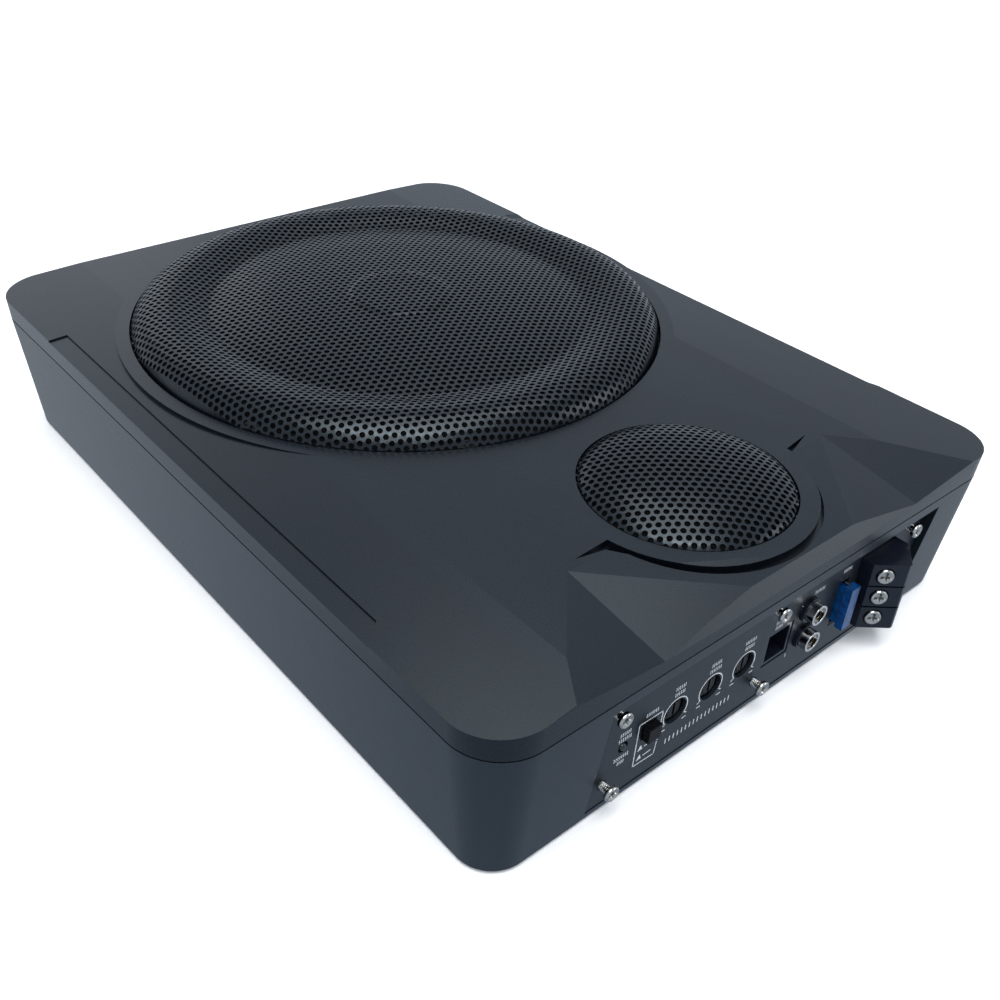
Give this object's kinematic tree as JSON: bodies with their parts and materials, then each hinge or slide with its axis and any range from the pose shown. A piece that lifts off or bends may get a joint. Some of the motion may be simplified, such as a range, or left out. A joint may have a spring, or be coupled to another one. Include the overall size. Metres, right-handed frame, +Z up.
{
  "type": "powered car subwoofer",
  "caption": "Flat under-seat powered subwoofer with a domed mesh over the woofer, a small mesh over a passive radiator and an end panel with controls, fuse and terminals.",
  "frame": {"origin": "centre of the flat underside", "axes": "+Z up through the top plate, -Y out of the control panel, +X to the right when facing the control panel"},
  "size_m": [0.2578, 0.3591, 0.0762],
  "materials": {
    "shell_metal": "satin fine texture",
    "cover_plastic": "fine matte grain",
    "panel_metal": "satin",
    "grille_steel": "satin",
    "rubber_black": "matte",
    "cone_black": "matte",
    "spider_cloth": "woven",
    "copper_wire": "enamelled",
    "former_tan": "satin",
    "ferrite": "matte",
    "zinc_steel": "zinc plated",
    "nickel": "polished",
    "black_steel": "black oxide",
    "brass": "satin",
    "board_green": "solder mask",
    "heatsink_alu": "extruded",
    "inner_black": "matte",
    "black_plastic": "semi gloss",
    "ivory_plastic": "semi gloss",
    "fuse_blue": "translucent",
    "shaft_grey": "moulded",
    "led_lens": "clear diffused",
    "wire_red": "insulated"
  },
  "bodies": {
    "case": {"lower_shell": "shell_metal", "top_cover": "cover_plastic", "control_panel": "panel_metal", "woofer_grille": "grille_steel", "radiator_grille": "grille_steel", "woofer_frame": "grille_steel", "cover_gasket": "rubber_black", "flange_gasket": "rubber_black", "woofer_surround": "rubber_black", "radiator_surround": "rubber_black", "woofer_spider": "spider_cloth", "toroid_winding": "copper_wire", "woofer_magnet": "ferrite", "toroid_core": "ferrite", "spacer_tubes": "zinc_steel", "woofer_top_plate": "zinc_steel", "woofer_yoke": "zinc_steel", "panel_screws": "nickel", "rca_shells": "nickel", "terminal_clamps": "nickel", "level_pins": "nickel", "board_screws": "nickel", "board_standoffs": "nickel", "cover_screws": "black_steel", "woofer_screws": "black_steel", "radiator_screws": "black_steel", "bracket_inserts": "brass", "rca_contacts": "brass", "woofer_terminals": "brass", "amp_board": "board_green", "heatsink_bar": "heatsink_alu", "power_transistors": "inner_black", "control_chips": "inner_black", "filter_capacitors": "inner_black", "radiator_frame": "inner_black", "pot_bodies": "inner_black", "phase_switch_body": "inner_black", "rca_housing": "black_plastic", "level_socket": "black_plastic", "fuse_holder": "black_plastic", "terminal_block": "black_plastic", "rca_insulators": "ivory_plastic", "status_led": "led_lens", "speaker_leads": "wire_red"},
    "woofer_mover": {"woofer_cone": "cone_black", "dust_cap": "cone_black", "voice_coil": "copper_wire", "coil_former": "former_tan"},
    "radiator_mover": {"radiator_cone": "cone_black", "radiator_weight": "zinc_steel"},
    "freq_knob": {"freq_shaft": "shaft_grey"},
    "boost_knob": {"boost_shaft": "shaft_grey"},
    "gain_knob": {"gain_shaft": "shaft_grey"},
    "phase_push": {"phase_button": "black_plastic"},
    "fuse": {"fuse_body": "fuse_blue", "fuse_blades": "nickel"},
    "power_terminal": {"power_screw": "nickel"},
    "remote_terminal": {"remote_screw": "nickel"},
    "ground_terminal": {"ground_screw": "nickel"}
  },
  "joints": [
    {"name": "woofer_excursion", "type": "slide", "parent": "case", "child": "woofer_mover", "axis": [0, 0, 1], "range_m": [-0.005, 0.005], "stiffness_N_per_m": 3000, "deforming": ["woofer_surround", "woofer_spider"]},
    {"name": "radiator_excursion", "type": "slide", "parent": "case", "child": "radiator_mover", "axis": [0, 0, 1], "range_m": [-0.003, 0.003], "stiffness_N_per_m": 1500, "deforming": ["radiator_surround"]},
    {"name": "freq_turn", "type": "hinge", "parent": "case", "child": "freq_knob", "pos_m": [-0.0444, -0.1695, 0.0255], "axis": [0, -1, 0], "range_deg": [-140, 140]},
    {"name": "boost_turn", "type": "hinge", "parent": "case", "child": "boost_knob", "pos_m": [-0.0271, -0.1695, 0.0255], "axis": [0, -1, 0], "range_deg": [-140, 140]},
    {"name": "gain_turn", "type": "hinge", "parent": "case", "child": "gain_knob", "pos_m": [-0.0098, -0.1695, 0.0255], "axis": [0, -1, 0], "range_deg": [-140, 140]},
    {"name": "phase_press", "type": "slide", "parent": "case", "child": "phase_push", "axis": [0, 1, 0], "range_m": [0, 0.0022], "stiffness_N_per_m": 400, "springref_m": -0.002},
    {"name": "fuse_pull", "type": "slide", "parent": "case", "child": "fuse", "axis": [0, -1, 0], "range_m": [0, 0.018]},
    {"name": "power_screw_turn", "type": "hinge", "parent": "case", "child": "power_terminal", "pos_m": [0.057, -0.1785, 0.037], "axis": [-0.6481, -0.7615, 0], "range_deg": [0, 720]},
    {"name": "remote_screw_turn", "type": "hinge", "parent": "case", "child": "remote_terminal", "pos_m": [0.057, -0.1785, 0.0272], "axis": [-0.6481, -0.7615, 0], "range_deg": [0, 720]},
    {"name": "ground_screw_turn", "type": "hinge", "parent": "case", "child": "ground_terminal", "pos_m": [0.057, -0.1785, 0.0174], "axis": [-0.6481, -0.7615, 0], "range_deg": [0, 720]}
  ]
}
